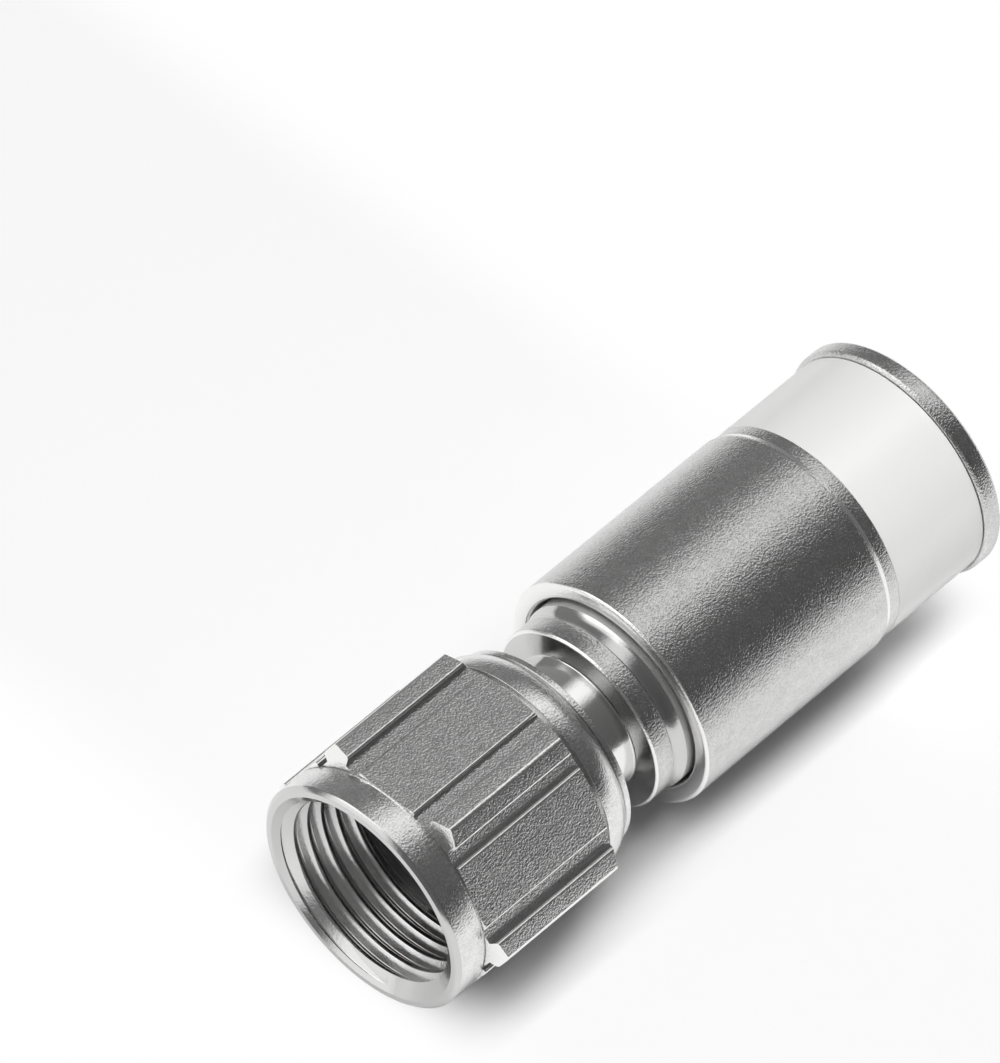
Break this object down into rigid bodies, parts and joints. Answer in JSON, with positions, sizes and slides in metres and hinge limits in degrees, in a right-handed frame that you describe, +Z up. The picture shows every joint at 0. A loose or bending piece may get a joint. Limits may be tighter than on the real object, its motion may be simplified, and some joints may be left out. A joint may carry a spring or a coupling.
{
  "type": "compression F connector",
  "caption": "Straight coaxial cable plug with a ribbed hexagonal threaded coupling nut that turns on a necked body, and an outer sleeve that slides forward to grip the cable.",
  "frame": {"origin": "under the middle of the connector, on the surface that it lies on", "axes": "+X along the connector's axis, from the coupling nut's mouth towards the cable entry; +Z up"},
  "size_m": [0.032, 0.0128, 0.011],
  "materials": {
    "nickel_plate": "satin nickel plating on turned brass",
    "black_rubber": "smooth moulded rubber",
    "white_band": "smooth white plastic",
    "ferrule_plastic": "natural acetal"
  },
  "bodies": {
    "body": {"connector_body": "nickel_plate", "inner_post": "nickel_plate"},
    "nut": {"coupling_nut": "nickel_plate", "port_seal": "black_rubber"},
    "sleeve": {"compression_sleeve": "nickel_plate", "marking_band": "white_band", "rear_bushing": "nickel_plate", "grip_ferrule": "ferrule_plastic", "cable_seal": "black_rubber"}
  },
  "joints": [
    {"name": "nut_turn", "type": "hinge", "parent": "body", "child": "nut", "pos_m": [-0.00789, 0, 0.0055], "axis": [1, 0, 0], "continuous": true},
    {"name": "sleeve_press", "type": "slide", "parent": "body", "child": "sleeve", "axis": [-1, 0, 0], "range_m": [0, 0.0032]}
  ]
}
